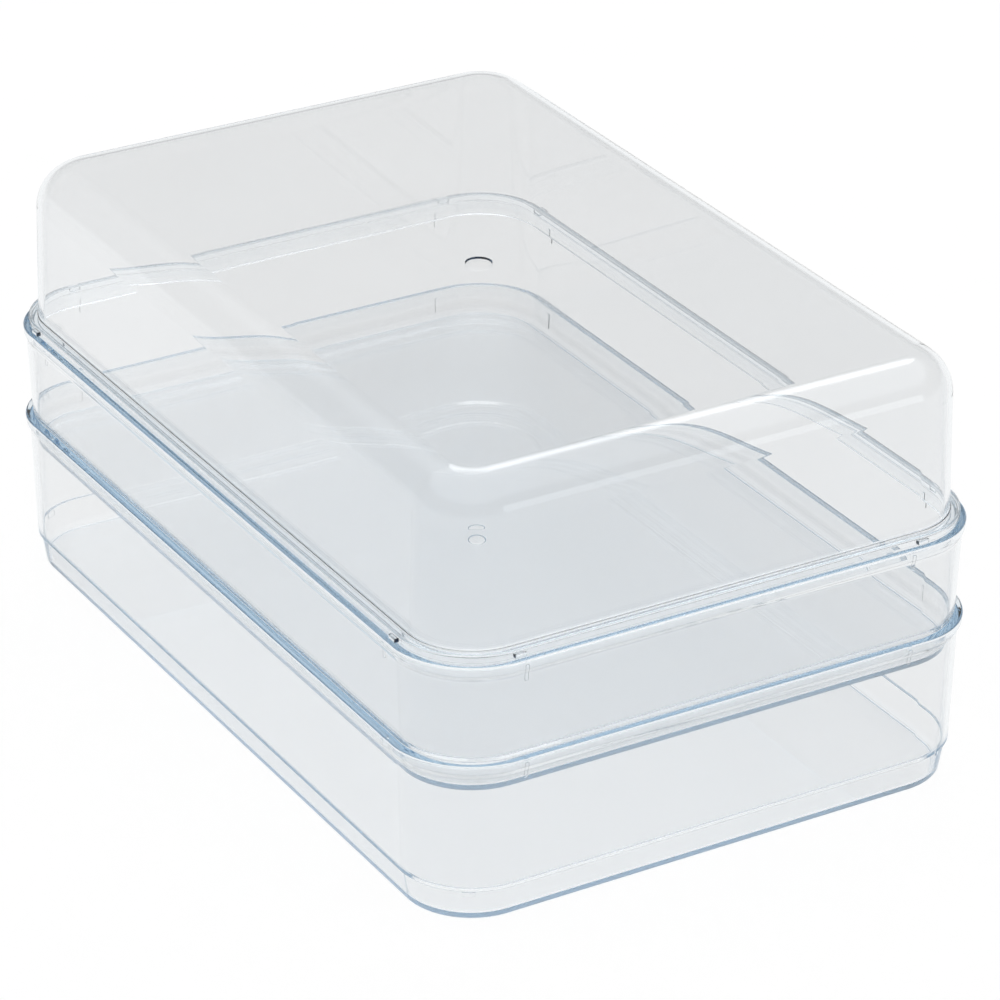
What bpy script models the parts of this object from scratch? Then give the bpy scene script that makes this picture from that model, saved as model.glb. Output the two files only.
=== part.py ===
"""Stacking fridge storage box: two clear trays that nest on each other and a domed lid.

Every piece is a thin-walled moulding whose plan is a rounded rectangle. A section is a chain of
(offset, height) points: the offset is measured outward from the outline of the foot, and the height
from the base of the piece. Its corners are rounded with tangent arcs, and the walls are lofted
through one ring for each of its points.

Frame: origin at the bottom centre of the stack, X along the long side, Z up. Units are metres.
"""
import math

import bmesh
import bpy
from mathutils import Matrix, Vector

# Plan of the foot
HALF_LENGTH = 0.1200
HALF_WIDTH = 0.0786
CORNER_RADIUS = 0.0182
CORNER_STEPS = 9
LEVEL_OFFSET = -CORNER_RADIUS / 2

# Arcs that round the corners of a section
ARC_STEP = math.radians(22.5)
FEWEST_ARC_STEPS = 2

# Walls and floors
WALL = 0.0013
FLOOR = 0.0013
FLOOR_ROUND = 0.0008

# Foot of a tray, which drops into the mouth of the tray below, and the ledge that rests on its rim
FOOT_OFFSET = 0.0003
FOOT_ROUND = 0.0007
FOOT_TOP_OFFSET = 0.0017
LEDGE_HEIGHT = 0.0090
LEDGE_OFFSET = 0.0024
LEDGE_EDGE = 0.00015
INNER_STEP_HEIGHT = 0.0096
INNER_STEP_WIDTH = 0.0006

# Rim of a tray: a vertical face over a slanted underside
WALL_TOP_OFFSET = 0.0033
MOUTH_OFFSET = WALL_TOP_OFFSET - WALL
MOUTH_ROUND = 0.0003
RIM_ROUND = 0.0006
RIM_FACE = 0.0021
RIM_FACE_ROUND = 0.0015
RIM_DEPTH = 0.0040
RIM_ROOT_ROUND = 0.0015
BOTTOM_RIM_OFFSET = 0.0045
MIDDLE_RIM_OFFSET = 0.0041

# Lid: a skirt inside the mouth, a flange on the rim, a drafted wall and a rounded top edge
SKIRT_DEPTH = 0.0040
SKIRT_FOOT_OFFSET = 0.0012
SKIRT_TOP_OFFSET = 0.00145
SKIRT_EDGE = 0.0003
FLANGE_OFFSET = 0.0025
FLANGE_THICKNESS = 0.0024
FLANGE_EDGE = 0.0003
STEP_ROUND = 0.0003
ROOT_ROUND = 0.0004
DOME_FOOT_OFFSET = -0.0002
DOME_CROWN_OFFSET = -0.00122
DOME_HEIGHT = 0.0462
DOME_ROUND = 0.0117
DOME_LEVEL_OFFSET = -DOME_ROUND - 0.005

# Heights in the stack, with the gap between pieces that stand on each other
STACK_GAP = 0.0003
BOTTOM_TRAY_HEIGHT = 0.0459
MIDDLE_TRAY_HEIGHT = 0.0360
MIDDLE_TRAY_BASE = BOTTOM_TRAY_HEIGHT + STACK_GAP - LEDGE_HEIGHT
LID_BASE = MIDDLE_TRAY_BASE + MIDDLE_TRAY_HEIGHT + STACK_GAP

# Guide ribs down the inside of each mouth, two beside each corner
RIB_WIDTH = 0.0010
RIB_HEIGHT = 0.0045
RIB_BELOW_RIM = 0.0020
RIB_PROUD = 0.00025
RIB_ROOT = 0.0007
RIB_FROM_CORNER_X = 0.0066
RIB_FROM_CORNER_Y = 0.0035

# Pads on the corners of each foot, just below the ledge
PAD_WIDTH = 0.0034
PAD_HEIGHT = 0.0014
PAD_PROUD = 0.00015
PAD_ROOT = 0.0006
PAD_BELOW_LEDGE = 0.0003
PAD_FROM_LONG_AXIS = math.radians(32)

# Tabs on the flange of the lid, beside the tangent points of the corners
TAB_WIDTH = 0.0034
TAB_REACH = 0.0012
TAB_ROOT = 0.0008
TAB_HEIGHT = 0.0012
TAB_BASE = 0.0006
TAB_FROM_CORNER = 0.0013

# Round gate marks: sunk into the top of the lid and into the underside of each tray
LID_GATE_RADIUS = 0.0035
TRAY_GATE_RADIUS = 0.0028
GATE_DEPTH = 0.0004
GATE_EDGE = 0.0001
LID_GATE = Vector((0.0055, -0.0026))
MIDDLE_GATE = Vector((0.0055, -0.0026))
BOTTOM_GATE = Vector((-0.0023, 0.0017))

# Clear styrene
CLEAR_COLOUR = (0.78, 0.85, 0.90, 1.0)
CLEAR_ROUGHNESS = 0.04
CLEAR_IOR = 1.59

SMOOTH_ANGLE = math.radians(30)


def clear_scene():
    """Removes every object of the scene."""
    for obj in list(bpy.data.objects):
        bpy.data.objects.remove(obj, do_unlink=True)


def new_collection(name):
    """Returns a new collection linked to the scene."""
    collection = bpy.data.collections.new(name)
    bpy.context.scene.collection.children.link(collection)
    return collection


def clear_styrene(name):
    """Returns a clear plastic material of its own for one piece."""
    material = bpy.data.materials.new(name)
    material.use_nodes = True
    shader = material.node_tree.nodes["Principled BSDF"]
    shader.inputs["Base Color"].default_value = CLEAR_COLOUR
    shader.inputs["Metallic"].default_value = 0.0
    shader.inputs["Roughness"].default_value = CLEAR_ROUGHNESS
    shader.inputs["IOR"].default_value = CLEAR_IOR
    shader.inputs["Transmission Weight"].default_value = 1.0
    return material


def rounded(turns):
    """Returns the points of a section whose corners are rounded with tangent arcs.

    Each turn is (offset, height, radius). The first and the last are the ends of the section.
    """
    points = [Vector(turns[0][:2])]
    for before, turn, after in zip(turns, turns[1:], turns[2:]):
        corner = Vector(turn[:2])
        back = (Vector(before[:2]) - corner).normalized()
        ahead = (Vector(after[:2]) - corner).normalized()
        half = back.angle(ahead) / 2
        centre = corner + (back + ahead).normalized() * turn[2] / math.sin(half)
        start = corner + back * turn[2] / math.tan(half) - centre
        sweep = start.angle_signed(corner + ahead * turn[2] / math.tan(half) - centre)
        steps = max(FEWEST_ARC_STEPS, round(abs(sweep) / ARC_STEP))
        for step in range(steps + 1):
            arm = start.copy()
            arm.rotate(Matrix.Rotation(-sweep * step / steps, 2))
            points.append(centre + arm)
    points.append(Vector(turns[-1][:2]))
    return points


def plan_ring(bm, offset, height):
    """Adds one rounded rectangle at an offset from the foot's outline and returns its vertices."""
    radius = CORNER_RADIUS + offset
    verts = []
    for quarter, (side_x, side_y) in enumerate(((1, 1), (-1, 1), (-1, -1), (1, -1))):
        for step in range(CORNER_STEPS + 1):
            angle = math.radians(90 * (quarter + step / CORNER_STEPS))
            x = side_x * (HALF_LENGTH - CORNER_RADIUS) + radius * math.cos(angle)
            y = side_y * (HALF_WIDTH - CORNER_RADIUS) + radius * math.sin(angle)
            verts.append(bm.verts.new((x, y, height)))
    return verts


def gate_rings(bm, centre, radius, surface, inward):
    """Adds the circles of a gate mark from its rim to its floor, each with a ring's count of vertices.

    Inward is the direction that the mark sinks in: 1 up and -1 down.
    """
    count = 4 * (CORNER_STEPS + 1)
    circles = []
    for reach, depth in ((radius + GATE_EDGE, 0), (radius, GATE_EDGE), (radius, GATE_DEPTH)):
        angles = [2 * math.pi * (index + 0.5) / count for index in range(count)]
        circles.append([bm.verts.new((centre.x + reach * math.cos(angle), centre.y + reach * math.sin(angle),
                                      surface + inward * depth)) for angle in angles])
    return circles


def loft(name, bm, rings, base, collection):
    """Lofts a closed moulding through its rings and stands it at the height of its base.

    The rings run up the outside and down the inside, so the faces point out of the plastic.
    """
    for ring, following in zip(rings, rings[1:]):
        for index in range(len(ring)):
            bm.faces.new((ring[index - 1], ring[index], following[index], following[index - 1]))
    bm.faces.new(reversed(rings[0]))
    bm.faces.new(rings[-1])
    mesh = bpy.data.meshes.new(name)
    bm.to_mesh(mesh)
    bm.free()
    mesh.materials.append(clear_styrene(name + "_styrene"))
    mesh.shade_smooth()
    mesh.set_sharp_from_angle(angle=SMOOTH_ANGLE)
    obj = bpy.data.objects.new(name, mesh)
    obj.location.z = base
    collection.objects.link(obj)
    return obj


def add_block(bm, size, inner_face, height, direction, lean):
    """Adds a block whose inner face stands at a point of the plan, facing back along a direction.

    The size is (along the direction, across it, up). The lean tips the top of the block outward.
    """
    turn = Matrix.Rotation(math.atan2(direction.y, direction.x), 4, "Z")
    place = Matrix.Translation((inner_face.x, inner_face.y, height))
    matrix = place @ turn @ Matrix.Rotation(lean, 4, "Y") @ Matrix.Translation((size[0] / 2, 0, 0))
    bmesh.ops.create_cube(bm, size=1, matrix=matrix @ Matrix.Diagonal((*size, 1)))


def side_stations(offset, from_corner_x, from_corner_y):
    """Yields a point on the plan and its outward direction, for two stations beside each corner."""
    reach_x = HALF_LENGTH - CORNER_RADIUS - from_corner_x
    reach_y = HALF_WIDTH - CORNER_RADIUS - from_corner_y
    for side_x in (-1, 1):
        for side_y in (-1, 1):
            yield Vector((side_x * reach_x, side_y * (HALF_WIDTH + offset))), Vector((0, side_y))
            yield Vector((side_x * (HALF_LENGTH + offset), side_y * reach_y)), Vector((side_x, 0))


def corner_stations(offset, from_long_axis):
    """Yields a point on each rounded corner of the plan and its outward direction."""
    for side_x in (-1, 1):
        for side_y in (-1, 1):
            direction = Vector((side_x * math.cos(from_long_axis), side_y * math.sin(from_long_axis)))
            centre = Vector((side_x * (HALF_LENGTH - CORNER_RADIUS), side_y * (HALF_WIDTH - CORNER_RADIUS)))
            yield centre + direction * (CORNER_RADIUS + offset), direction


def join_tool(body, name, bm, tools):
    """Makes a tool from a mesh, hangs it on the body and joins it to the body."""
    mesh = bpy.data.meshes.new(name)
    bm.to_mesh(mesh)
    bm.free()
    tool = bpy.data.objects.new(name, mesh)
    tool.parent = body
    tool.hide_render = True
    tool.display_type = "WIRE"
    tools.objects.link(tool)
    modifier = body.modifiers.new(name, "BOOLEAN")
    modifier.operation = "UNION"
    modifier.solver = "EXACT"
    modifier.object = tool


def add_mouth_ribs(tray, height, tools):
    """Joins the guide ribs to the inside of a tray's mouth, leaning with the drafted wall."""
    wall_top = height - RIM_DEPTH
    slope = (WALL_TOP_OFFSET - LEDGE_OFFSET) / (wall_top - LEDGE_HEIGHT)
    middle = height - RIB_BELOW_RIM - RIB_HEIGHT / 2
    middle_offset = MOUTH_OFFSET - (height - middle) * slope - RIB_PROUD
    bm = bmesh.new()
    for point, direction in side_stations(middle_offset, RIB_FROM_CORNER_X, RIB_FROM_CORNER_Y):
        size = (RIB_PROUD + RIB_ROOT, RIB_WIDTH, RIB_HEIGHT)
        add_block(bm, size, point, middle, direction, math.atan(slope))
    join_tool(tray, tray.name + "_ribs", bm, tools)


def add_foot_pads(tray, tools):
    """Joins the pads to the corners of a tray's foot, leaning with the drafted foot."""
    slope = (FOOT_TOP_OFFSET - FOOT_OFFSET) / LEDGE_HEIGHT
    below_ledge = PAD_BELOW_LEDGE + PAD_HEIGHT / 2
    middle_offset = FOOT_TOP_OFFSET - below_ledge * slope - PAD_ROOT
    bm = bmesh.new()
    for point, direction in corner_stations(middle_offset, PAD_FROM_LONG_AXIS):
        size = (PAD_ROOT + PAD_PROUD, PAD_WIDTH, PAD_HEIGHT)
        add_block(bm, size, point, LEDGE_HEIGHT - below_ledge, direction, math.atan(slope))
    join_tool(tray, tray.name + "_pads", bm, tools)


def add_flange_tabs(lid, tools):
    """Joins the tabs to the flange of the lid."""
    bm = bmesh.new()
    for point, direction in side_stations(FLANGE_OFFSET - TAB_ROOT, TAB_FROM_CORNER, TAB_FROM_CORNER):
        size = (TAB_ROOT + TAB_REACH, TAB_WIDTH, TAB_HEIGHT)
        add_block(bm, size, point, TAB_BASE + TAB_HEIGHT / 2, direction, 0)
    join_tool(lid, lid.name + "_tabs", bm, tools)


def tray_section(height, rim_offset):
    """Returns the section of a tray: up the outside, over the rim, down the inside to the floor."""
    inner_foot_top = LEDGE_OFFSET - WALL - INNER_STEP_WIDTH
    return rounded([(LEVEL_OFFSET, 0, 0),
                    (FOOT_OFFSET, 0, FOOT_ROUND),
                    (FOOT_TOP_OFFSET, LEDGE_HEIGHT, LEDGE_EDGE),
                    (LEDGE_OFFSET, LEDGE_HEIGHT, LEDGE_EDGE),
                    (WALL_TOP_OFFSET, height - RIM_DEPTH, RIM_ROOT_ROUND),
                    (rim_offset, height - RIM_FACE, RIM_FACE_ROUND),
                    (rim_offset, height, RIM_ROUND),
                    (MOUTH_OFFSET, height, MOUTH_ROUND),
                    (LEDGE_OFFSET - WALL, INNER_STEP_HEIGHT, INNER_STEP_WIDTH / 4),
                    (inner_foot_top, INNER_STEP_HEIGHT, INNER_STEP_WIDTH / 4),
                    (FOOT_OFFSET - WALL, FLOOR, FLOOR_ROUND),
                    (LEVEL_OFFSET, FLOOR, 0)])


def lid_section():
    """Returns the section of the lid from the crown's inside, down and round to its outside.

    Height 0 is the underside of the flange.
    """
    inner_step = FLANGE_THICKNESS - WALL
    inner_crown = DOME_CROWN_OFFSET - WALL
    return rounded([(DOME_LEVEL_OFFSET, DOME_HEIGHT - WALL, 0),
                    (inner_crown, DOME_HEIGHT - WALL, DOME_ROUND - WALL),
                    (DOME_FOOT_OFFSET - WALL, inner_step, STEP_ROUND),
                    (SKIRT_TOP_OFFSET - WALL, inner_step, STEP_ROUND),
                    (SKIRT_FOOT_OFFSET - WALL, -SKIRT_DEPTH, SKIRT_EDGE),
                    (SKIRT_FOOT_OFFSET, -SKIRT_DEPTH, SKIRT_EDGE),
                    (SKIRT_TOP_OFFSET, 0, FLANGE_EDGE),
                    (FLANGE_OFFSET, 0, FLANGE_EDGE),
                    (FLANGE_OFFSET, FLANGE_THICKNESS, FLANGE_EDGE),
                    (DOME_FOOT_OFFSET, FLANGE_THICKNESS, ROOT_ROUND),
                    (DOME_CROWN_OFFSET, DOME_HEIGHT, DOME_ROUND),
                    (DOME_LEVEL_OFFSET, DOME_HEIGHT, 0)])


def build_tray(name, height, rim_offset, gate, base, parts, tools):
    """Builds one tray with its gate mark, ribs and pads."""
    bm = bmesh.new()
    rings = gate_rings(bm, gate, TRAY_GATE_RADIUS, 0, 1)[::-1]
    rings += [plan_ring(bm, *point) for point in tray_section(height, rim_offset)]
    tray = loft(name, bm, rings, base, parts)
    add_mouth_ribs(tray, height, tools)
    add_foot_pads(tray, tools)


def build_lid(name, base, parts, tools):
    """Builds the domed lid with its gate mark and tabs."""
    bm = bmesh.new()
    rings = [plan_ring(bm, *point) for point in lid_section()]
    rings += gate_rings(bm, LID_GATE, LID_GATE_RADIUS, DOME_HEIGHT, -1)
    lid = loft(name, bm, rings, base, parts)
    add_flange_tabs(lid, tools)


def main():
    """Builds the stack: the deep tray, the shallow tray on it and the lid on top."""
    clear_scene()
    parts = new_collection("fridge_storage_box")
    tools = new_collection("fridge_storage_box_cutters")
    build_tray("bottom_tray", BOTTOM_TRAY_HEIGHT, BOTTOM_RIM_OFFSET, BOTTOM_GATE, 0, parts, tools)
    build_tray("middle_tray", MIDDLE_TRAY_HEIGHT, MIDDLE_RIM_OFFSET, MIDDLE_GATE, MIDDLE_TRAY_BASE, parts,
               tools)
    build_lid("domed_lid", LID_BASE, parts, tools)


main()
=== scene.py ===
"""Looks of the stacking fridge storage box: two clear trays and a domed lid on a white studio floor.

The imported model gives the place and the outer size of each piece. Each moulding is built again here on the
same section with finely rounded edges, so that it bends light as the real one does, and is dressed as clear
styrene. Lengths are in metres and angles in degrees, unless a name says otherwise.
"""

import logging
import math
from collections.abc import Iterator, Sequence
from dataclasses import dataclass, field
from enum import Enum
from typing import NamedTuple

import bmesh
import bpy
from mathutils import Matrix, Vector


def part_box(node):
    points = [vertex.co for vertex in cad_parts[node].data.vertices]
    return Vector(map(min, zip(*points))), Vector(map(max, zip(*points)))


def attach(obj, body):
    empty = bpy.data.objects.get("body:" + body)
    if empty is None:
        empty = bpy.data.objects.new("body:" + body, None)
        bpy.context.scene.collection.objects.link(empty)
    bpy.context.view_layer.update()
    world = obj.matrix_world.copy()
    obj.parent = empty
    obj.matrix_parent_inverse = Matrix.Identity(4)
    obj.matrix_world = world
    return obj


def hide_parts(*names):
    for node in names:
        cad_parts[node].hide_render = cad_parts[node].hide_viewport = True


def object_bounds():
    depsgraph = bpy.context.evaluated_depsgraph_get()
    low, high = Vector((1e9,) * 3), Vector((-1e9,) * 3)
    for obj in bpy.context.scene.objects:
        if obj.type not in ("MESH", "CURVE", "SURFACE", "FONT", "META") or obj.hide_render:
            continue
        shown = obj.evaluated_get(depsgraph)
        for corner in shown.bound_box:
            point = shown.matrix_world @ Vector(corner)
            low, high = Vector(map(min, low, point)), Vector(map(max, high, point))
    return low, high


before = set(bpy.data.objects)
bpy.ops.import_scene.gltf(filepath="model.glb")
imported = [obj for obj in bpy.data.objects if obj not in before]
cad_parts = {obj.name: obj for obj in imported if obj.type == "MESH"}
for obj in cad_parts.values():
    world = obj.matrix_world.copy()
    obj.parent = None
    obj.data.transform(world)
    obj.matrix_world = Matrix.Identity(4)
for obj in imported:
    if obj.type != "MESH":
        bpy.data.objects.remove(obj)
cad_low, cad_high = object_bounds()

log = logging.getLogger("fridge_storage_box")

MM = 0.001
MIX_COLOURS = (6, 7)
MIX_RESULT = 2

Colour = tuple[float, float, float]
Ring = list[bmesh.types.BMVert]


class Facing(Enum):
    """Which way a level surface faces."""

    UP = 1
    DOWN = -1


class Turn(NamedTuple):
    """A corner of a section: its offset and height, and the radius that rounds it."""

    offset: float
    height: float
    radius: float = 0.0


class Heights(NamedTuple):
    """Heights of a moulding that its finish goes by: its underside and the two ends of its plain wall, where
    the painted shade lies.
    """

    underside: float
    wall_low: float
    wall_high: float


class Station(NamedTuple):
    """A place on the plan where a small feature stands, and the direction that points outward there."""

    point: Vector
    outward: Vector


class NodeSheet:
    """A node tree that is filled from code."""

    def __init__(self, tree: bpy.types.NodeTree) -> None:
        """Empties a tree and keeps it.

        Args:
            tree: The node tree of a material or a world.
        """
        self.tree = tree
        self.tree.nodes.clear()

    def add(self, kind: str, settings: dict[str, object] | None = None, **inputs: object) -> bpy.types.Node:
        """Adds a node.

        Args:
            kind: Blender's name for the node's type.
            settings: Properties of the node itself.
            **inputs: Values or output sockets by input name, with _ for a space.

        Returns:
            The new node.
        """
        node = self.tree.nodes.new(kind)
        for name, value in (settings or {}).items():
            setattr(node, name, value)
        for name, value in inputs.items():
            self.feed(node.inputs[name.replace("_", " ")], value)
        return node

    def feed(self, socket: bpy.types.NodeSocket, value: object) -> None:
        """Sets a socket to a value, or links it where the value is an output socket."""
        if isinstance(value, bpy.types.NodeSocket):
            self.tree.links.new(value, socket)
        else:
            socket.default_value = value

    def math(self, operation: str, *values: object) -> bpy.types.NodeSocket:
        """Adds a Math node.

        Args:
            operation: Blender's name for the operation.
            *values: Numbers or output sockets, in the order of the node's inputs.

        Returns:
            The result's output socket.
        """
        node = self.add("ShaderNodeMath", {"operation": operation})
        for socket, value in zip(node.inputs, values):
            self.feed(socket, value)
        return node.outputs[0]

    def map_range(self, value: object, low: float, high: float, to_low: float, to_high: float,
                  smooth: bool = False) -> bpy.types.NodeSocket:
        """Adds a Map Range node.

        Args:
            value: The number or output socket to map.
            low: The value that gives to_low.
            high: The value that gives to_high.
            to_low: The result at the low end.
            to_high: The result at the high end.
            smooth: Whether the result eases at both ends.

        Returns:
            The result's output socket.
        """
        kind = "SMOOTHSTEP" if smooth else "LINEAR"
        node = self.add("ShaderNodeMapRange", {"interpolation_type": kind}, Value=value)
        for name, number in zip(("From Min", "From Max", "To Min", "To Max"), (low, high, to_low, to_high)):
            node.inputs[name].default_value = number
        return node.outputs["Result"]

    def blend(self, share: object, start: Colour | bpy.types.NodeSocket,
              end: Colour | bpy.types.NodeSocket) -> bpy.types.NodeSocket:
        """Adds a colour Mix node, whose colour sockets are taken by number.

        Args:
            share: The number or output socket that says how much of the end colour is taken.
            start: The colour at a share of 0.
            end: The colour at a share of 1.

        Returns:
            The result's output socket.
        """
        node = self.add("ShaderNodeMix", {"data_type": "RGBA"}, Factor=share)
        for index, colour in zip(MIX_COLOURS, (start, end)):
            self.feed(node.inputs[index], (*colour, 1.0) if isinstance(colour, tuple) else colour)
        return node.outputs[MIX_RESULT]


@dataclass(frozen=True)
class ClearStyrene:
    """Clear injection-moulded styrene: pale blue in depth, with faint haze and flow ripples. Its plain wall
    has painted shade: a grey tint that is partly the styrene's own, and reflections dimmed to grey-blue.
    """

    ior: float = 1.59
    absorption_colour: Colour = (0.03, 0.43, 0.70)
    absorption_density: float = 17.0
    clarity: float = 1.0
    # Painted shade: the plain wall's reflections are dimmed to grey-blue, as if the room around were darker.
    wall_reflection_painted_shade: Colour = (0.69, 0.72, 0.75)
    edge_reflection: Colour = (1.0, 1.0, 1.0)
    wall_ease: float = 1.0 * MM
    underside_zone: float = 0.1 * MM
    underside_roughness: float = 0.3
    floor_tint: Colour = (0.981, 0.979, 0.977)
    # Plain wall tints, clear and hazy: partly the styrene's faint grey, partly painted shade that darkens
    # what is seen through the wall.
    clear_tint_and_painted_shade: Colour = (0.932, 0.929, 0.927)
    hazy_tint_and_painted_shade: Colour = (0.924, 0.921, 0.919)
    haze_scale: float = 18.0
    haze_detail: float = 4.0
    haze_band: tuple[float, float] = (0.45, 0.75)
    clear_roughness: float = 0.0
    hazy_roughness: float = 0.035
    ripple_scale: float = 60.0
    ripple_detail: float = 2.0
    ripple_stretch: tuple[float, float, float] = (0.25, 1.0, 1.0)
    ripple_depth: float = 0.004 * MM
    ripple_strength: float = 0.02

    def material(self, name: str, heights: Heights) -> bpy.types.Material:
        """Makes the material.

        Args:
            name: The material's name.
            heights: Where the matt underside and the plain wall of the piece are.

        Returns:
            The material, with haze in its roughness and tint, flow ripples in its bump, and painted shade in
            the plain wall's tint and reflections.
        """
        material = bpy.data.materials.new(name)
        material.use_nodes = True
        sheet = NodeSheet(material.node_tree)
        place = sheet.add("ShaderNodeTexCoord").outputs["Object"]
        height = sheet.add("ShaderNodeSeparateXYZ", Vector=place).outputs["Z"]
        haze = self.haze(sheet, place)
        plain = self.painted_shade_wall(sheet, height, heights)
        # The plain wall's base colour: the styrene's tint with painted shade, varied by the haze.
        wall_tint_and_painted_shade = sheet.blend(haze, self.clear_tint_and_painted_shade, self.hazy_tint_and_painted_shade)
        polish = sheet.map_range(haze, 0.0, 1.0, self.clear_roughness, self.hazy_roughness)
        matt = sheet.map_range(height, heights.underside, heights.underside + self.underside_zone,
                               self.underside_roughness, 0.0)
        # Both the base colour and the reflection tint take painted shade on the plain wall; elsewhere
        # reflections stay white.
        shader = sheet.add("ShaderNodeBsdfPrincipled", IOR=self.ior, Transmission_Weight=self.clarity,
                           Base_Color=sheet.blend(plain, self.floor_tint, wall_tint_and_painted_shade),
                           Specular_Tint=sheet.blend(plain, self.edge_reflection, self.wall_reflection_painted_shade),
                           Roughness=sheet.math("MAXIMUM", matt, polish),
                           Normal=self.ripples(sheet, place))
        depth = sheet.add("ShaderNodeVolumeAbsorption", Color=(*self.absorption_colour, 1.0),
                          Density=self.absorption_density)
        sheet.add("ShaderNodeOutputMaterial", Surface=shader.outputs["BSDF"], Volume=depth.outputs["Volume"])
        return material

    def haze(self, sheet: NodeSheet, place: bpy.types.NodeSocket) -> bpy.types.NodeSocket:
        """Adds the clouds of faint haze.

        Args:
            sheet: The material's node tree.
            place: The point on the object.

        Returns:
            The share of haze, from 0 to 1.
        """
        noise = sheet.add("ShaderNodeTexNoise", Vector=place, Scale=self.haze_scale, Detail=self.haze_detail)
        return sheet.map_range(noise.outputs["Fac"], *self.haze_band, 0.0, 1.0, smooth=True)

    def painted_shade_wall(self, sheet: NodeSheet, height: bpy.types.NodeSocket,
                   heights: Heights) -> bpy.types.NodeSocket:
        """Marks the plain wall, which takes the painted shade, off from the floor below it and the rim above
        it.

        Args:
            sheet: The material's node tree.
            height: The height on the object.
            heights: Where the plain wall is.

        Returns:
            1 on the plain wall and 0 elsewhere, eased over a short height.
        """
        low, high = heights.wall_low, heights.wall_high
        above = sheet.map_range(height, low, low + self.wall_ease, 0.0, 1.0)
        below = sheet.map_range(height, high - self.wall_ease, high, 1.0, 0.0)
        return sheet.math("MULTIPLY", above, below)

    def ripples(self, sheet: NodeSheet, place: bpy.types.NodeSocket) -> bpy.types.NodeSocket:
        """Adds the flow ripples, stretched along the box.

        Args:
            sheet: The material's node tree.
            place: The point on the object.

        Returns:
            The surface's rippled normal.
        """
        stretched = sheet.add("ShaderNodeMapping", Vector=place, Scale=self.ripple_stretch).outputs["Vector"]
        ripple = sheet.add("ShaderNodeTexNoise", Vector=stretched, Scale=self.ripple_scale,
                           Detail=self.ripple_detail).outputs["Fac"]
        bump = sheet.add("ShaderNodeBump", Height=ripple, Distance=self.ripple_depth,
                         Strength=self.ripple_strength)
        return bump.outputs["Normal"]


@dataclass(frozen=True)
class StudioPaper:
    """White background paper with a faint tooth, part of whose white is its own, as on a light table."""

    colour: Colour = (1.0, 1.0, 1.0)
    shade: Colour = (0.99, 0.99, 0.99)
    tooth_scale: float = 40.0
    glow_share: float = 0.93

    def material(self, name: str) -> bpy.types.Material:
        """Makes the material.

        Args:
            name: The material's name.

        Returns:
            A matt white material whose tone varies a little.
        """
        material = bpy.data.materials.new(name)
        material.use_nodes = True
        sheet = NodeSheet(material.node_tree)
        place = sheet.add("ShaderNodeTexCoord").outputs["Object"]
        tooth = sheet.add("ShaderNodeTexNoise", Vector=place, Scale=self.tooth_scale).outputs["Fac"]
        tone = sheet.blend(tooth, self.colour, self.shade)
        lit = sheet.add("ShaderNodeBsdfDiffuse", Color=tone).outputs["BSDF"]
        glow = sheet.add("ShaderNodeEmission", Color=tone, Strength=1.0).outputs["Emission"]
        path = sheet.add("ShaderNodeLightPath").outputs
        seen = sheet.math("MAXIMUM", path["Is Camera Ray"], path["Is Glossy Ray"])
        seen = sheet.math("MAXIMUM", seen, path["Is Transmission Ray"])
        mix = sheet.add("ShaderNodeMixShader", Fac=sheet.math("MULTIPLY", seen, self.glow_share))
        sheet.feed(mix.inputs[1], lit)
        sheet.feed(mix.inputs[2], glow)
        sheet.add("ShaderNodeOutputMaterial", Surface=mix.outputs["Shader"])
        return material


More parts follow.
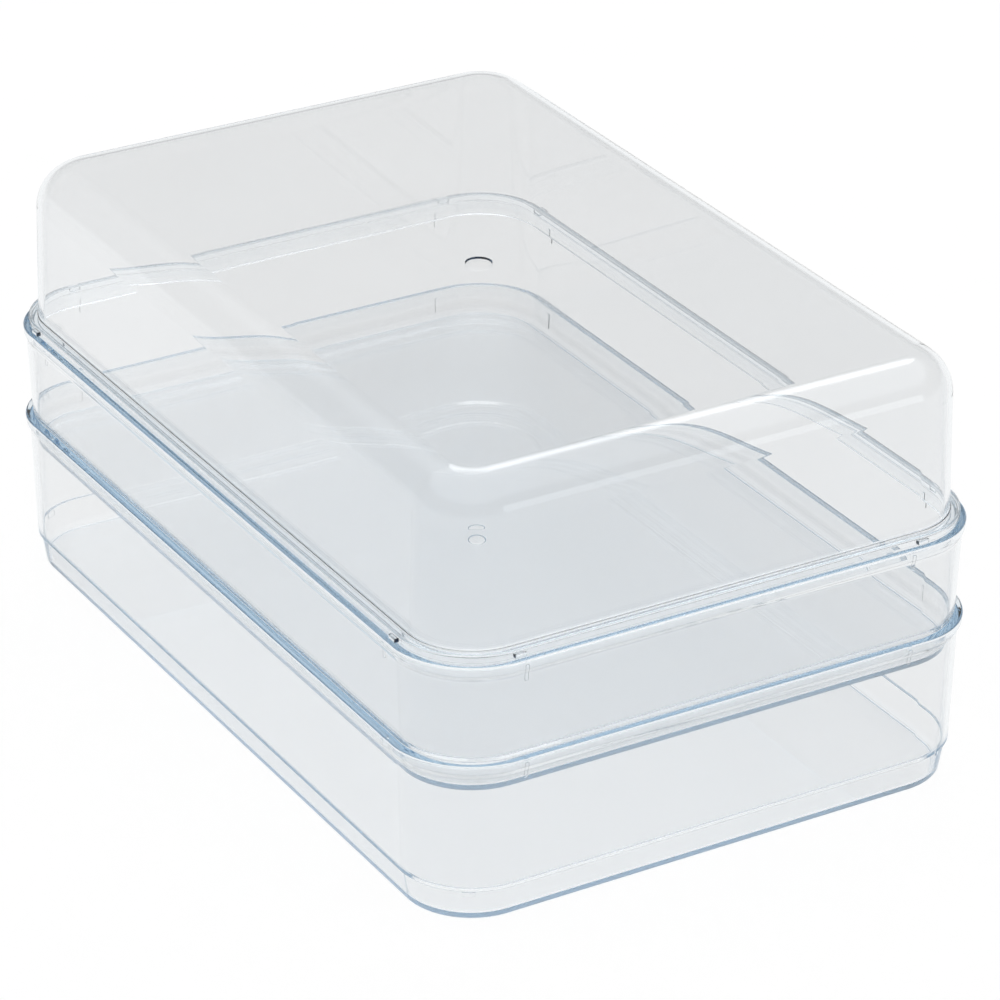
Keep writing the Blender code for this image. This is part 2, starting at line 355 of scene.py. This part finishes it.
@dataclass(frozen=True)
class PlanOutline:
    """The rounded rectangle of the foot, from which every section is offset."""

    half_length: float
    half_width: float
    corner_radius: float
    corner_steps: int = 24

    def corner_centre(self, side_x: int, side_y: int) -> Vector:
        """Returns the centre that a corner is rounded about."""
        return Vector((side_x * (self.half_length - self.corner_radius),
                       side_y * (self.half_width - self.corner_radius)))

    def ring(self, bm: bmesh.types.BMesh, offset: float, height: float) -> Ring:
        """Adds one rounded rectangle.

        Args:
            bm: The mesh that takes the vertices.
            offset: How far outside the foot's outline it runs.
            height: Its height.

        Returns:
            Its vertices, counter-clockwise from the +X end of the +X +Y corner.
        """
        verts = []
        for quarter, (side_x, side_y) in enumerate(((1, 1), (-1, 1), (-1, -1), (1, -1))):
            centre = self.corner_centre(side_x, side_y)
            for step in range(self.corner_steps + 1):
                angle = math.radians(90 * (quarter + step / self.corner_steps))
                reach = Vector((math.cos(angle), math.sin(angle))) * (self.corner_radius + offset)
                verts.append(bm.verts.new((*(centre + reach), height)))
        return verts

    def circle(self, bm: bmesh.types.BMesh, centre: Vector, radius: float, height: float) -> Ring:
        """Adds a circle with as many vertices as a ring has, evenly spaced.

        Args:
            bm: The mesh that takes the vertices.
            centre: Its centre on the plan.
            radius: Its radius.
            height: Its height.

        Returns:
            Its vertices, in the order of a ring's.
        """
        count = 4 * (self.corner_steps + 1)
        angles = [2 * math.pi * (index + 0.5) / count for index in range(count)]
        return [bm.verts.new((centre.x + radius * math.cos(angle), centre.y + radius * math.sin(angle),
                              height)) for angle in angles]

    def side_stations(self, offset: float, from_corner_x: float, from_corner_y: float) -> Iterator[Station]:
        """Yields two stations beside each corner, one on each side.

        Args:
            offset: How far outside the foot's outline the stations stand.
            from_corner_x: How far they stand from the corner's rounding along X, on the long sides.
            from_corner_y: How far they stand from it along Y, on the short sides.

        Yields:
            Each station.
        """
        for side_x in (-1, 1):
            for side_y in (-1, 1):
                corner = self.corner_centre(side_x, side_y)
                along_x = Vector((corner.x - side_x * from_corner_x, side_y * (self.half_width + offset)))
                along_y = Vector((side_x * (self.half_length + offset), corner.y - side_y * from_corner_y))
                yield Station(along_x, Vector((0, side_y)))
                yield Station(along_y, Vector((side_x, 0)))

    def corner_stations(self, offset: float, from_long_axis: float) -> Iterator[Station]:
        """Yields one station on each rounded corner.

        Args:
            offset: How far outside the foot's outline the stations stand.
            from_long_axis: The angle between the outward direction and the long axis.

        Yields:
            Each station.
        """
        angle = math.radians(from_long_axis)
        for side_x in (-1, 1):
            for side_y in (-1, 1):
                outward = Vector((side_x * math.cos(angle), side_y * math.sin(angle)))
                reach = self.corner_radius + offset
                yield Station(self.corner_centre(side_x, side_y) + outward * reach, outward)


def rounded(turns: Sequence[Turn], arc_step: float = 9.0) -> list[tuple[float, float]]:
    """Rounds the corners of a section with tangent arcs.

    Args:
        turns: The corners in order; the first and the last are its ends.
        arc_step: The angle between neighbouring points of an arc.

    Returns:
        The points of the section as (offset, height).
    """
    points = [Vector(turns[0][:2])]
    for before, turn, after in zip(turns, turns[1:], turns[2:]):
        corner = Vector(turn[:2])
        back = (Vector(before[:2]) - corner).normalized()
        ahead = (Vector(after[:2]) - corner).normalized()
        half = back.angle(ahead) / 2
        if turn.radius == 0:
            points.append(corner)
            continue
        centre = corner + (back + ahead).normalized() * turn.radius / math.sin(half)
        start = corner + back * turn.radius / math.tan(half) - centre
        sweep = start.angle_signed(corner + ahead * turn.radius / math.tan(half) - centre)
        steps = max(2, round(math.degrees(abs(sweep)) / arc_step))
        for step in range(steps + 1):
            arm = start.copy()
            arm.rotate(Matrix.Rotation(-sweep * step / steps, 2))
            points.append(centre + arm)
    points.append(Vector(turns[-1][:2]))
    return [tuple(point) for point in points]


@dataclass(frozen=True)
class GateMark:
    """A shallow round gate mark in a level surface."""

    centre: Vector
    radius: float
    facing: Facing
    depth: float = 0.4 * MM
    edge: float = 0.18 * MM
    arc_step: float = 30.0

    def rings(self, outline: PlanOutline, bm: bmesh.types.BMesh, surface: float) -> list[Ring]:
        """Adds the rings of the mark, from its rim to its floor.

        Args:
            outline: The outline whose rings the circles match.
            bm: The mesh that takes the vertices.
            surface: The height of the level surface.

        Returns:
            The rings in order.
        """
        inward = -self.facing.value
        border = 3 * self.edge
        turns = [Turn(border, 0), Turn(0, 0, self.edge), Turn(0, self.depth, self.edge),
                 Turn(-border, self.depth)]
        return [outline.circle(bm, self.centre, self.radius + offset, surface + inward * sunk)
                for offset, sunk in rounded(turns, self.arc_step)]


@dataclass
class Moulding:
    """A thin-walled moulding lofted on the plan's rounded rectangle."""

    node: str
    slot: str
    outline: PlanOutline
    base: float
    finish: ClearStyrene
    wall: float = 1.3 * MM
    sharp_angle: float = 32.0
    level_weight: int = 100
    edge_segments: int = 3

    def loft(self, rings: Sequence[Ring], bm: bmesh.types.BMesh) -> bpy.types.Object:
        """Lays faces from ring to ring and closes both ends.

        Args:
            rings: Rings with equal numbers of vertices, up the outside and down the inside.
            bm: The mesh that holds them.

        Returns:
            The new object, standing at the moulding's base.
        """
        for ring, following in zip(rings, rings[1:]):
            for index in range(len(ring)):
                bm.faces.new((ring[index - 1], ring[index], following[index], following[index - 1]))
        bm.faces.new(reversed(rings[0]))
        bm.faces.new(rings[-1])
        bmesh.ops.translate(bm, verts=bm.verts, vec=(0, 0, self.base))
        return self.new_object(self.node + "_moulding", bm)

    def new_object(self, name: str, bm: bmesh.types.BMesh) -> bpy.types.Object:
        """Puts a mesh into a new object of the scene."""
        mesh = bpy.data.meshes.new(name)
        bm.to_mesh(mesh)
        bm.free()
        obj = bpy.data.objects.new(name, mesh)
        bpy.context.scene.collection.objects.link(obj)
        return obj

    def add_block(self, bm: bmesh.types.BMesh, station: Station, size: tuple[float, float, float],
                  height: float, edge: float, lean: float = 0.0) -> None:
        """Adds a block whose inner face stands at a station.

        Args:
            bm: The mesh that takes the block.
            station: Where the inner face's middle stands on the plan.
            size: The block's size outward, across and up.
            height: The height of its middle above the base.
            edge: The radius of its edges.
            lean: How far its top tips outward.
        """
        turn = Matrix.Rotation(math.atan2(station.outward.y, station.outward.x), 4, "Z")
        place = Matrix.Translation((*station.point, self.base + height))
        tip = Matrix.Rotation(math.radians(lean), 4, "Y")
        matrix = place @ turn @ tip @ Matrix.Translation((size[0] / 2, 0, 0)) @ Matrix.Diagonal((*size, 1))
        verts = bmesh.ops.create_cube(bm, size=1, matrix=matrix)["verts"]
        edges = list({link for vert in verts for link in vert.link_edges})
        bmesh.ops.bevel(bm, geom=edges, offset=edge, segments=self.edge_segments, affect="EDGES",
                        profile=0.5)

    def join(self, obj: bpy.types.Object, bm: bmesh.types.BMesh) -> None:
        """Joins a tool to the moulding.

        Args:
            obj: The moulding's object, whose mesh is changed.
            bm: The tool's mesh.
        """
        tool = self.new_object(self.node + "_tool", bm)
        modifier = obj.modifiers.new("tool", "BOOLEAN")
        modifier.operation = "UNION"
        modifier.solver = "EXACT"
        modifier.object = tool
        shaped = bpy.data.meshes.new_from_object(obj.evaluated_get(bpy.context.evaluated_depsgraph_get()))
        obj.modifiers.clear()
        rough, obj.data = obj.data, shaped
        bpy.data.meshes.remove(rough)
        tool_mesh = tool.data
        bpy.data.objects.remove(tool)
        bpy.data.meshes.remove(tool_mesh)

    def dress(self, obj: bpy.types.Object, heights: Heights) -> bpy.types.Object:
        """Smooths the moulding, gives it its finish and lets it stand for its CAD node.

        Args:
            obj: The moulding's object.
            heights: The heights that the finish goes by.

        Returns:
            The same object.
        """
        obj.data.materials.clear()
        obj.data.materials.append(self.finish.material(self.node + "_clear_styrene", heights))
        obj.data.shade_smooth()
        obj.data.set_sharp_from_angle(angle=math.radians(self.sharp_angle))
        weighted = obj.modifiers.new("level_walls", "WEIGHTED_NORMAL")
        weighted.mode = "FACE_AREA"
        weighted.weight = self.level_weight
        weighted.keep_sharp = True
        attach(obj, self.node)
        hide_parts(self.node)
        log.info("%s: %d faces", obj.name, len(obj.data.polygons))
        return obj


@dataclass
class Tray(Moulding):
    """A tray with a stepped foot, a drafted wall, a rim, guide ribs in its mouth and pads on its foot."""

    height: float = 0.0
    rim_offset: float = 4.5 * MM
    gate_centre: tuple[float, float] = (0.0, 0.0)
    gate_radius: float = 2.8 * MM
    floor: float = 1.3 * MM
    floor_round: float = 0.8 * MM
    foot_offset: float = 0.3 * MM
    foot_round: float = 0.7 * MM
    foot_top_offset: float = 1.7 * MM
    ledge_height: float = 9.0 * MM
    ledge_offset: float = 2.4 * MM
    ledge_edge: float = 0.15 * MM
    inner_step_height: float = 9.6 * MM
    inner_step_width: float = 0.6 * MM
    wall_top_offset: float = 3.3 * MM
    mouth_round: float = 0.3 * MM
    rim_round: float = 0.6 * MM
    rim_face: float = 2.1 * MM
    rim_face_round: float = 1.5 * MM
    rim_depth: float = 4.0 * MM
    rim_root_round: float = 1.5 * MM
    rib_size: tuple[float, float, float] = (0.95 * MM, 1.0 * MM, 4.5 * MM)
    rib_proud: float = 0.25 * MM
    rib_below_rim: float = 2.0 * MM
    rib_from_corner: tuple[float, float] = (6.6 * MM, 3.5 * MM)
    rib_edge: float = 0.1 * MM
    pad_size: tuple[float, float, float] = (0.75 * MM, 3.4 * MM, 1.4 * MM)
    pad_proud: float = 0.15 * MM
    pad_below_ledge: float = 0.3 * MM
    pad_from_long_axis: float = 32.0
    pad_edge: float = 0.05 * MM

    @property
    def mouth_offset(self) -> float:
        """The offset of the mouth's wall at the rim's top."""
        return self.wall_top_offset - self.wall

    @property
    def corner_reach(self) -> float:
        """How far in from the outline the level floor begins."""
        return self.outline.corner_radius / 2

    def section(self) -> list[tuple[float, float]]:
        """Returns the section: up the outside, over the rim and down the inside to the floor."""
        inner_step_round = self.inner_step_width / 4
        inner_ledge = self.ledge_offset - self.wall
        return rounded([Turn(-self.corner_reach, 0),
                        Turn(self.foot_offset, 0, self.foot_round),
                        Turn(self.foot_top_offset, self.ledge_height, self.ledge_edge),
                        Turn(self.ledge_offset, self.ledge_height, self.ledge_edge),
                        Turn(self.wall_top_offset, self.height - self.rim_depth, self.rim_root_round),
                        Turn(self.rim_offset, self.height - self.rim_face, self.rim_face_round),
                        Turn(self.rim_offset, self.height, self.rim_round),
                        Turn(self.mouth_offset, self.height, self.mouth_round),
                        Turn(inner_ledge, self.inner_step_height, inner_step_round),
                        Turn(inner_ledge - self.inner_step_width, self.inner_step_height, inner_step_round),
                        Turn(self.foot_offset - self.wall, self.floor, self.floor_round),
                        Turn(-self.corner_reach, self.floor)])

    def build(self) -> bpy.types.Object:
        """Builds the tray.

        Returns:
            The finished object.
        """
        bm = bmesh.new()
        gate = GateMark(Vector(self.gate_centre), self.gate_radius, Facing.DOWN)
        rings = gate.rings(self.outline, bm, 0)[::-1]
        rings += [self.outline.ring(bm, offset, height) for offset, height in self.section()]
        obj = self.loft(rings, bm)
        self.join_ribs(obj)
        self.join_pads(obj)
        # The plain wall, which takes the painted shade, runs from the floor's rounding to the rim's root.
        wall_low = self.base + self.floor + self.floor_round
        return self.dress(obj, Heights(self.base, wall_low, self.base + self.height - self.rim_depth))

    def join_ribs(self, obj: bpy.types.Object) -> None:
        """Joins the guide ribs to the inside of the mouth, leaning with the wall."""
        rise = self.height - self.rim_depth - self.ledge_height
        slope = (self.wall_top_offset - self.ledge_offset) / rise
        below = self.rib_below_rim + self.rib_size[2] / 2
        middle_offset = self.mouth_offset - below * slope - self.rib_proud
        bm = bmesh.new()
        for station in self.outline.side_stations(middle_offset, *self.rib_from_corner):
            self.add_block(bm, station, self.rib_size, self.height - below, self.rib_edge,
                           math.degrees(math.atan(slope)))
        self.join(obj, bm)

    def join_pads(self, obj: bpy.types.Object) -> None:
        """Joins the pads to the corners of the foot, leaning with its wall."""
        slope = (self.foot_top_offset - self.foot_offset) / self.ledge_height
        below = self.pad_below_ledge + self.pad_size[2] / 2
        middle_offset = self.foot_top_offset - below * slope + self.pad_proud - self.pad_size[0]
        bm = bmesh.new()
        for station in self.outline.corner_stations(middle_offset, self.pad_from_long_axis):
            self.add_block(bm, station, self.pad_size, self.ledge_height - below, self.pad_edge,
                           math.degrees(math.atan(slope)))
        self.join(obj, bm)


@dataclass
class DomedLid(Moulding):
    """The lid: a skirt inside the mouth, a flange on the rim, a drafted wall and a rounded top edge.

    It has no matt underside, and its plain wall, with its painted shade, runs on over the top.
    """

    height: float = 0.0
    skirt_depth: float = 4.0 * MM
    skirt_foot_offset: float = 1.2 * MM
    skirt_top_offset: float = 1.45 * MM
    skirt_edge: float = 0.3 * MM
    flange_offset: float = 2.5 * MM
    flange_thickness: float = 2.4 * MM
    flange_edge: float = 0.5 * MM
    root_round: float = 0.4 * MM
    step_round: float = 0.3 * MM
    foot_offset: float = -0.2 * MM
    crown_offset: float = -1.22 * MM
    crown_round: float = 11.7 * MM
    level_reach: float = 5.0 * MM
    arc_step: float = 6.0
    tab_size: tuple[float, float, float] = (2.0 * MM, 3.4 * MM, 1.2 * MM)
    tab_reach: float = 1.2 * MM
    tab_base: float = 0.6 * MM
    tab_from_corner: float = 1.3 * MM
    tab_edge: float = 0.35 * MM
    gate_centre: tuple[float, float] = (5.5 * MM, -2.6 * MM)
    gate_radius: float = 3.5 * MM

    def section(self) -> list[tuple[float, float]]:
        """Returns the section from the crown's inside, down and round to its outside."""
        inner_step = self.flange_thickness - self.wall
        level = -self.crown_round - self.level_reach
        turns = [Turn(level, self.height - self.wall),
                 Turn(self.crown_offset - self.wall, self.height - self.wall, self.crown_round - self.wall),
                 Turn(self.foot_offset - self.wall, inner_step, self.step_round),
                 Turn(self.skirt_top_offset - self.wall, inner_step, self.step_round),
                 Turn(self.skirt_foot_offset - self.wall, -self.skirt_depth, self.skirt_edge),
                 Turn(self.skirt_foot_offset, -self.skirt_depth, self.skirt_edge),
                 Turn(self.skirt_top_offset, 0, self.flange_edge),
                 Turn(self.flange_offset, 0, self.flange_edge),
                 Turn(self.flange_offset, self.flange_thickness, self.flange_edge),
                 Turn(self.foot_offset, self.flange_thickness, self.root_round),
                 Turn(self.crown_offset, self.height, self.crown_round),
                 Turn(level, self.height)]
        return rounded(turns, self.arc_step)

    def build(self) -> bpy.types.Object:
        """Builds the lid.

        Returns:
            The finished object.
        """
        bm = bmesh.new()
        gate = GateMark(Vector(self.gate_centre), self.gate_radius, Facing.UP)
        rings = [self.outline.ring(bm, offset, height) for offset, height in self.section()]
        rings += gate.rings(self.outline, bm, self.height)
        obj = self.loft(rings, bm)
        self.join_tabs(obj)
        clear_below = self.base - 2 * self.skirt_depth
        # The plain wall and its painted shade run from the flange's root over the whole crown.
        wall_low = self.base + self.flange_thickness + self.root_round
        clear_above = self.base + 2 * self.height
        return self.dress(obj, Heights(clear_below, wall_low, clear_above))

    def join_tabs(self, obj: bpy.types.Object) -> None:
        """Joins the tabs to the flange."""
        inner_offset = self.flange_offset + self.tab_reach - self.tab_size[0]
        bm = bmesh.new()
        for station in self.outline.side_stations(inner_offset, self.tab_from_corner, self.tab_from_corner):
            self.add_block(bm, station, self.tab_size, self.tab_base + self.tab_size[2] / 2, self.tab_edge)
        self.join(obj, bm)


@dataclass(frozen=True)
class Softbox:
    """A soft lamp that faces the object, placed by its direction from it."""

    name: str
    azimuth: float
    elevation: float
    distance: float
    width: float
    height: float
    radiance: float

    def build(self, aim: Vector) -> None:
        """Hangs the lamp.

        Args:
            aim: The point that it faces.
        """
        azimuth, elevation = math.radians(self.azimuth), math.radians(self.elevation)
        direction = Vector((math.cos(azimuth) * math.cos(elevation), math.sin(azimuth) * math.cos(elevation),
                            math.sin(elevation)))
        data = bpy.data.lights.new(self.name, "AREA")
        data.shape = "RECTANGLE"
        data.size = self.width
        data.size_y = self.height
        data.energy = self.radiance * math.pi * self.width * self.height
        lamp = bpy.data.objects.new(self.name, data)
        lamp.location = aim + direction * self.distance
        lamp.rotation_euler = direction.to_track_quat("Z", "Y").to_euler()
        lamp.visible_camera = False
        bpy.context.scene.collection.objects.link(lamp)


@dataclass(frozen=True)
class Studio:
    """A white paper floor under a soft sky of diffusers, with a softbox at the side and one behind."""

    paper: StudioPaper = field(default_factory=StudioPaper)
    floor_radius: float = 12.0
    floor_gap: float = 0.2 * MM
    floor_sides: int = 96
    skyline_level: float = 1.0
    surround_level: float = 0.65
    ceiling_level: float = 1.3
    skyline_band: tuple[float, float] = (3.0, 10.0)
    ceiling_band: tuple[float, float] = (32.0, 46.0)
    softboxes: tuple[Softbox, ...] = (
        Softbox("side_softbox", azimuth=27.0, elevation=14.0, distance=1.3, width=0.35, height=0.30,
                radiance=1.15),
        Softbox("back_softbox", azimuth=140.0, elevation=47.0, distance=1.5, width=0.8, height=0.35,
                radiance=2.0),
    )
    light_bounces: int = 48
    diffuse_bounces: int = 8

    def build(self, aim: Vector) -> None:
        """Builds the floor, the sky and the lamps, and sets how light is traced.

        Args:
            aim: The point that the lamps face.
        """
        self.lay_floor()
        self.hang_sky()
        for softbox in self.softboxes:
            softbox.build(aim)
        self.set_light_paths()
        log.info("studio: floor, sky and %d softboxes", len(self.softboxes))

    def lay_floor(self) -> None:
        """Lays the paper just under the object, so that the two surfaces don't coincide."""
        bm = bmesh.new()
        place = Matrix.Translation((0, 0, -self.floor_gap))
        bmesh.ops.create_circle(bm, cap_ends=True, segments=self.floor_sides, radius=self.floor_radius,
                                matrix=place)
        mesh = bpy.data.meshes.new("paper_floor")
        bm.to_mesh(mesh)
        bm.free()
        mesh.materials.append(self.paper.material("studio_paper"))
        floor = bpy.data.objects.new("paper_floor", mesh)
        bpy.context.scene.collection.objects.link(floor)

    def hang_sky(self) -> None:
        """Makes the world: as white as the floor at the skyline, dimmer above it and bright overhead."""
        world = bpy.data.worlds.new("diffuser_sky")
        world.use_nodes = True
        sheet = NodeSheet(world.node_tree)
        direction = sheet.add("ShaderNodeTexCoord").outputs["Generated"]
        up = sheet.add("ShaderNodeSeparateXYZ", Vector=direction).outputs["Z"]
        low, high = (math.sin(math.radians(angle)) for angle in self.skyline_band)
        near = sheet.map_range(up, low, high, self.skyline_level, self.surround_level, smooth=True)
        low, high = (math.sin(math.radians(angle)) for angle in self.ceiling_band)
        over = sheet.map_range(up, low, high, 0.0, self.ceiling_level - self.surround_level, smooth=True)
        glow = sheet.add("ShaderNodeBackground", Strength=sheet.math("ADD", near, over))
        sheet.feed(glow.inputs["Color"], (1.0, 1.0, 1.0, 1.0))
        sheet.add("ShaderNodeOutputWorld", Surface=glow.outputs["Background"])
        bpy.context.scene.world = world

    def set_light_paths(self) -> None:
        """Lets light pass through every wall of the stack, and keeps the plain view transform."""
        scene = bpy.context.scene
        scene.view_settings.view_transform = "Standard"
        scene.cycles.max_bounces = self.light_bounces
        scene.cycles.transmission_bounces = self.light_bounces
        scene.cycles.glossy_bounces = self.light_bounces
        scene.cycles.diffuse_bounces = self.diffuse_bounces
        scene.cycles.blur_glossy = 0.0


@dataclass(frozen=True)
class PhotoCamera:
    """The camera at the photograph's angle."""

    position: tuple[float, float, float] = (1.00193, -0.58292, 0.64243)
    target: tuple[float, float, float] = (0.03838, -0.01515, 0.06774)
    lens: float = 174.15
    sensor: float = 36.0
    roll: float = -0.28955
    clip_end: float = 100.0

    def build(self) -> None:
        """Sets up the camera and makes it the scene's own."""
        position = Vector(self.position)
        ahead = (Vector(self.target) - position).normalized()
        level_right = ahead.cross(Vector((0, 0, 1))).normalized()
        level_down = ahead.cross(level_right)
        roll = math.radians(self.roll)
        right = level_right * math.cos(roll) + level_down * math.sin(roll)
        down = level_down * math.cos(roll) - level_right * math.sin(roll)
        data = bpy.data.cameras.new("photo_camera")
        data.lens = self.lens
        data.sensor_width = self.sensor
        data.clip_end = self.clip_end
        camera = bpy.data.objects.new("photo_camera", data)
        turn = Matrix((right, -down, -ahead)).transposed()
        camera.matrix_world = Matrix.Translation(position) @ turn.to_4x4()
        bpy.context.scene.collection.objects.link(camera)
        bpy.context.scene.camera = camera


@dataclass
class StorageBox:
    """The whole stack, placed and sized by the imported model."""

    bottom_rim_offset: float = 4.5 * MM
    corner_radius: float = 18.2 * MM
    bottom_gate: tuple[float, float] = (-2.3 * MM, 1.7 * MM)
    middle_gate: tuple[float, float] = (5.5 * MM, -2.6 * MM)
    finish: ClearStyrene = field(default_factory=ClearStyrene)

    def outline(self) -> PlanOutline:
        """Returns the foot's outline, worked out from the outer size of the bottom tray's rim."""
        low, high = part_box("bottom_tray")
        return PlanOutline((high.x - low.x) / 2 - self.bottom_rim_offset,
                           (high.y - low.y) / 2 - self.bottom_rim_offset, self.corner_radius)

    def build(self) -> None:
        """Builds both trays and the lid."""
        outline = self.outline()
        for node, gate in (("bottom_tray", self.bottom_gate), ("middle_tray", self.middle_gate)):
            low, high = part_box(node)
            tray = Tray(node, node + "_styrene", outline, low.z, self.finish, height=high.z - low.z,
                        rim_offset=(high.x - low.x) / 2 - outline.half_length, gate_centre=gate)
            tray.build()
        low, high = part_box("domed_lid")
        lid = DomedLid("domed_lid", "lid_styrene", outline, low.z, self.finish)
        lid.base = low.z + lid.skirt_depth
        lid.height = high.z - lid.base
        lid.build()


def main() -> None:
    """Builds the studio, the camera and the box, and reports the box's pieces and the studio."""
    logging.basicConfig(level=logging.INFO, format="%(name)s: %(message)s")
    StorageBox().build()
    Studio().build((cad_low + cad_high) / 2)
    PhotoCamera().build()


if __name__ == "__main__":
    main()
